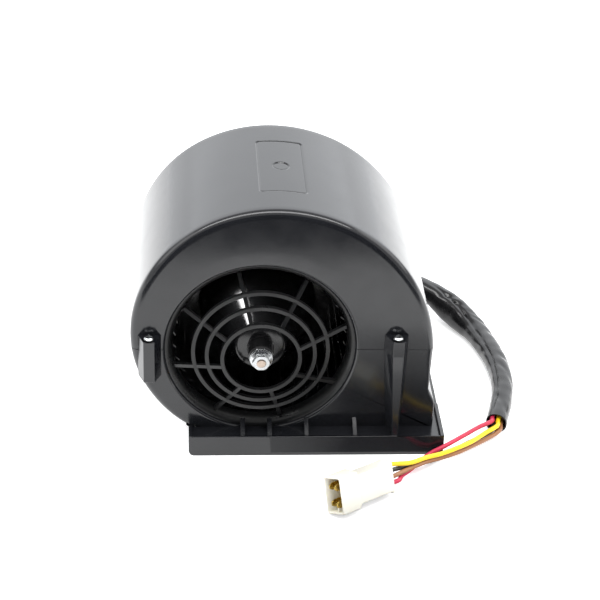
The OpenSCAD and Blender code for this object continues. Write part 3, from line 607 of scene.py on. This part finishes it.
def lower_skin(bm):
    cols = []
    for h, dep in ((0, 0.38), (0.16, 0.2), (0.42, 0.0)):
        a, b = 180 + math.degrees(math.asin(h / 82.9)), 180 + math.degrees(math.asin(h / 64))
        cols.append(skin_column(b, scroll_pt(a), scroll_normal(a), 5.0, BAND_FEW, dep))
    for i in range(28):
        a = 181 + 53.4 * i / 27
        r = 5.0 - 2.0 * ease((a - 205) / 28)
        cols.append(skin_column(a, scroll_pt(a), scroll_normal(a), r, BAND_FEW))
    skin_grid(bm, cols)
    # right-hand wall
    cols = []
    zs = [12.6, 18, 24, 28, 31, 34, 37, 40, 43, 46, 50, 54, 58, 62, 66, 70, 72.6]
    for z in zs:
        o = right_pt(z)
        d = right_pt(min(74.1, z + 2.5)) - right_pt(max(12.6, z - 2.5))
        n = Vector((d.y, -d.x)).normalized()
        cols.append(skin_column(math.degrees(math.atan2(z - AZ, o.x - AX)), o, n, 1.6 + 3.4 * ease((z - 40) / 30), BAND_FEW))
    for h, dep in ((0.42, 0.0), (0.16, 0.2), (0, 0.38)):
        cols.append(skin_column(-math.degrees(math.asin(h / 64)), right_pt(AZ - h), Vector((1, 0)), 5.0, BAND_FEW, dep))
    skin_grid(bm, cols)
    # flat walls down to the flange
    for m in (1, -1):
        cols = []
        a0, a1 = 234.4, 360 - math.degrees(math.atan2(AZ - 12.6, 77.7 - AX))
        for i in range(50):
            a = a0 + (a1 - a0) * i / 49
            ca, sa = math.cos(math.radians(a)), math.sin(math.radians(a))
            k = (12.6 - AZ) / sa
            inset = 3.5 * (1 - ease(i / 3.0)) + 2.1 * ease((i - 46) / 3.0)
            end = max(64.3 if False else 61.4, k - inset)
            col = []
            for q, y in LIP:
                q = min(q, max(61.3, k))
                col.append((AX + q * ca, y * m, AZ + q * sa))
            q0 = min(64.0, max(61.3, k))
            for t in (0.35, 0.7, 1.0):
                q = q0 + (max(q0, end) - q0) * t
                col.append((AX + q * ca, -HALF * m, AZ + q * sa))
            cols.append(col)
        rows = [[bm.verts.new((x * MM, y * MM, z * MM)) for x, y, z in c] for c in cols]
        for a, b in zip(rows, rows[1:]):
            for i in range(len(a) - 1):
                f = bm.faces.new((a[i], a[i + 1], b[i + 1], b[i]) if m < 0 else (a[i], b[i], b[i + 1], a[i + 1]))
                f.normal_update()
                if f.normal.y * m > 0.2:
                    f.normal_flip()
    for m in (1, -1):
        prism(bm, [(x, y * m) for x, y in LEFT_PAD], 55.08, 74.05)
        # side of the groove beside the end lip
        q = [bm.verts.new((77.7 * MM, y * m * MM, z * MM)) for y, z in ((-75.2, 12.5), (-62.9, 12.5), (-62.9, 13.7), (-75.2, 13.7))]
        f = bm.faces.new(q)
        f.normal_update()
        if f.normal.x < 0:
            f.normal_flip()


def on_skin(f):
    """Faces of the CAD copy that the smooth outer skin takes the place of."""
    vs = [(v.co.x * 1000, v.co.y * 1000, v.co.z * 1000) for v in f.verts]
    if all(abs(abs(y) - HALF) < 0.03 for x, y, z in vs):
        return True
    if all(abs(z - AZ) < 0.02 for x, y, z in vs):
        return True
    if all(abs(x - 77.7) < 0.02 for x, y, z in vs) and max(z for x, y, z in vs) > 30:
        return True
    gaps = [outline_gap(x, z) for x, y, z in vs]
    if min(z for x, y, z in vs) > 12.4 and all(abs(g) < 0.2 for g in gaps) and all(abs(y) < 63.05 for x, y, z in vs) and abs(f.normal.y) < 0.3:
        return True
    if min(z for x, y, z in vs) > 140 and all(abs(g) < 1.3 for g in gaps) and all(abs(y) < 40 for x, y, z in vs):
        return True
    rad = [math.hypot(x - AX, z - AZ) for x, y, z in vs]
    return all(61.2 < q < 62.95 for q in rad) and all(61.1 < abs(y) < 63.05 for x, y, z in vs)


def small_edges(e):
    return 1.0


upper = from_cad("upper_casing", "casing_upper", 0.4, 3, small_edges, drop=on_skin, skin=upper_skin)
lower = from_cad("lower_casing", "casing_lower", 0.4, 3, small_edges, drop=on_skin, skin=lower_skin)
grille = from_cad("front_inlet_grille", "inlet_grille_front", 0.5, 3)
grille.data.materials[0] = moulded("grille_black", (0.0045, 0.0048, 0.005), (0.008, 0.0082, 0.0085), 0.34, 0.1, 1.1, 0.5, 0.1, ior=1.42)
rear = from_cad("rear_inlet_mount", "inlet_mount_rear", 0.45, 2)
rear.data.materials[0] = grille.data.materials[0]
screws = from_cad("casing_screws", "case_screws", 0.25, 2)
wheel = from_cad("impeller", "fan_wheel", 0.0, 2, body="rotor")
nut = from_cad("flange_nut", "hub_nut", 0.22, 2, body="rotor")
washer = from_cad("hub_washer", "nut_washer", 0.15, 2, body="rotor")
axle = from_cad("shaft", "rotor_shaft", 0.15, 2, body="rotor")
cover = from_cad("terminal_cover", "resistor_cover", 0.8, 3)
boot = from_cad("lead_grommet", "lead_boot", 0.6, 3)
from_cad("motor_end_cap", "motor_cap", 0.4, 2)
from_cad("motor_screws", "mount_screws", 0.25, 2)
from_cad("isolator_bushes", "rubber_bushes", 0.5, 2)
from_cad("resistor_carrier", "resistor_card", 0.4, 2)
from_cad("resistor_screws", "card_screws", 0.2, 2)
from_cad("balance_clips", "wheel_clips", 0.2, 2, body="rotor")


# ---------------------------------------------------------------- floor and light
def floor():
    bm = bmesh.new()
    n = 24
    for i in range(n + 1):
        for j in range(n + 1):
            bm.verts.new((-3 + 6 * i / n, -2.5 + 6 * j / n, 0))
    bm.verts.ensure_lookup_table()
    for i in range(n):
        for j in range(n):
            a = i * (n + 1) + j
            bm.faces.new([bm.verts[k] for k in (a, a + n + 1, a + n + 2, a + 1)])
    m, t, b = new_mat("floor_white")
    v = coords(t)
    t.links.new(ramp(t, noise(t, v, 0.002, 2), (0.93, 0.93, 0.93), (0.95, 0.95, 0.95)), b.inputs["Base Color"])
    b.inputs["Roughness"].default_value = 0.7
    b.inputs["Specular IOR Level"].default_value = 0.2
    b.inputs["Emission Color"].default_value = (1, 1, 1, 1)
    b.inputs["Emission Strength"].default_value = 0.45
    ob = to_object(bm, "floor", m)
    ob.location.z = -0.00002
    return ob


floor()
world = bpy.data.worlds.new("studio")
SCENE.world = world
world.use_nodes = True
world.node_tree.nodes["Background"].inputs["Color"].default_value = (1, 1, 1, 1)
world.node_tree.nodes["Background"].inputs["Strength"].default_value = 0.9


def area(name, loc, target, size, power, shape="RECTANGLE", size_y=None, color=(1, 1, 1)):
    li = bpy.data.lights.new(name, "AREA")
    li.shape = shape
    li.size = size
    if size_y:
        li.size_y = size_y
    li.energy = power
    li.color = color
    ob = link(bpy.data.objects.new(name, li))
    ob.location = loc
    d = Vector(target) - Vector(loc)
    ob.rotation_euler = d.to_track_quat("-Z", "Y").to_euler()
    return ob


area("back_box", (0.0, 1.5, 1.15), (0, 0, 0.1), 5.2, 44, size_y=1.5, color=(0.93, 0.96, 1.0))
area("top_box", (-0.05, -0.35, 1.5), (-0.03, 0, 0.1), 2.8, 30, size_y=0.40)
area("low_back", (0.0, 2.1, 0.23), (0, 0, 0.12), 6.0, 16, size_y=0.66, color=(0.93, 0.96, 1.0))
# small strip inside the volute: the streak on the hub's cone
streak = area("cone_streak", (-0.0632, -0.0465, 0.1172), (-0.041, -0.0465, 0.081), 0.013, 0.0042, size_y=0.017)
streak.data.spread = math.radians(75)
aim = (Vector((-0.041, -0.0465, 0.081)) - streak.location).normalized()
streak.rotation_euler = Matrix((Vector((0, 1, 0)).cross(-aim), Vector((0, 1, 0)), -aim)).transposed().to_euler()
streak.visible_camera = False
area("left_box", (-1.6, -0.3, 0.9), (0, 0, 0.08), 1.0, 6, size_y=1.0)
area("right_box", (1.5, 0.2, 0.8), (0, 0, 0.08), 1.0, 6, size_y=1.0)


def card(name, corners):
    """A black studio card that only reflections see."""
    bm = bmesh.new()
    bm.faces.new([bm.verts.new(c) for c in corners])
    bmesh.ops.subdivide_edges(bm, edges=bm.edges[:], cuts=3, use_grid_fill=True)
    m, t, b = new_mat(name)
    v = coords(t)
    t.links.new(ramp(t, noise(t, v, 0.004, 2), (0.015, 0.016, 0.02), (0.02, 0.021, 0.026)), b.inputs["Base Color"])
    b.inputs["Roughness"].default_value = 1.0
    b.inputs["Specular IOR Level"].default_value = 0.0
    ob = to_object(bm, name, m)
    ob.visible_camera = False
    ob.visible_diffuse = False
    ob.visible_shadow = False
    ob.visible_transmission = False
    return ob


# black sheet on the floor under the casing, seen by the camera and by every ray: painted shade that keeps the floor
# inside the hollow casing dark
under_shade_card = card("card_under_painted_shade", [(-0.079, -0.060, 0.0004), (0.0745, -0.060, 0.0004), (0.0745, 0.060, 0.0004), (-0.079, 0.060, 0.0004)])
under_shade_card.visible_camera = under_shade_card.visible_diffuse = under_shade_card.visible_shadow = under_shade_card.visible_transmission = True
card("card_floor", [(-1.2, -1.4, 0.002), (1.2, -1.4, 0.002), (1.2, -0.31, 0.002), (-1.2, -0.31, 0.002)])
card("card_front", [(-1.3, -1.4, 0.0), (1.3, -1.4, 0.0), (1.3, -1.25, 1.0), (-1.3, -1.25, 1.0)])


def graded_card():
    """Floor in front of the right-hand wall, darker towards the flange, for reflections only."""
    ob = card("card_near", [(-0.03, -0.20, 0.0012), (0.19, -0.20, 0.0012), (0.19, -0.078, 0.0012), (-0.03, -0.078, 0.0012)])
    m, t, b = new_mat("card_near_graded")
    v = coords(t)
    sep = t.nodes.new("ShaderNodeSeparateXYZ")
    t.links.new(v, sep.inputs[0])
    fy = remap(t, sep.outputs["Y"], 1.15, 0.1, -180.0, -122.0)
    fx = remap(t, sep.outputs["X"], 1.15, 0.0, -22.0, 28.0)
    mx = t.nodes.new("ShaderNodeMath")
    mx.operation = "MAXIMUM"
    t.links.new(fy, mx.inputs[0])
    t.links.new(fx, mx.inputs[1])
    wob = t.nodes.new("ShaderNodeMath")
    wob.operation = "MULTIPLY"
    t.links.new(mx.outputs[0], wob.inputs[0])
    t.links.new(remap(t, noise(t, v, 0.02, 2), 0.85, 1.15), wob.inputs[1])
    t.links.new(wob.outputs[0], b.inputs["Emission Strength"])
    b.inputs["Emission Color"].default_value = (1, 1, 1, 1)
    b.inputs["Base Color"].default_value = (0.01, 0.01, 0.01, 1)
    b.inputs["Roughness"].default_value = 1.0
    ob.data.materials[0] = m
    return ob


graded_card()
shade = card("card_connector", [(-0.045, -0.180, 0.0010), (0.050, -0.180, 0.0010), (0.050, -0.100, 0.0010), (-0.045, -0.100, 0.0010)])
shade.visible_diffuse = True
shade.visible_glossy = False
# seen from above only, so the floor under it stays lit
_t = shade.data.materials[0].node_tree
_geo = _t.nodes.new("ShaderNodeNewGeometry")
_clear = _t.nodes.new("ShaderNodeBsdfTransparent")
_mix = _t.nodes.new("ShaderNodeMixShader")
_t.links.new(_geo.outputs["Backfacing"], _mix.inputs[0])
_t.links.new(_t.nodes["Principled BSDF"].outputs[0], _mix.inputs[1])
_t.links.new(_clear.outputs[0], _mix.inputs[2])
_t.links.new(_mix.outputs[0], _t.nodes["Material Output"].inputs["Surface"])
SCENE.view_settings.view_transform = "Standard"
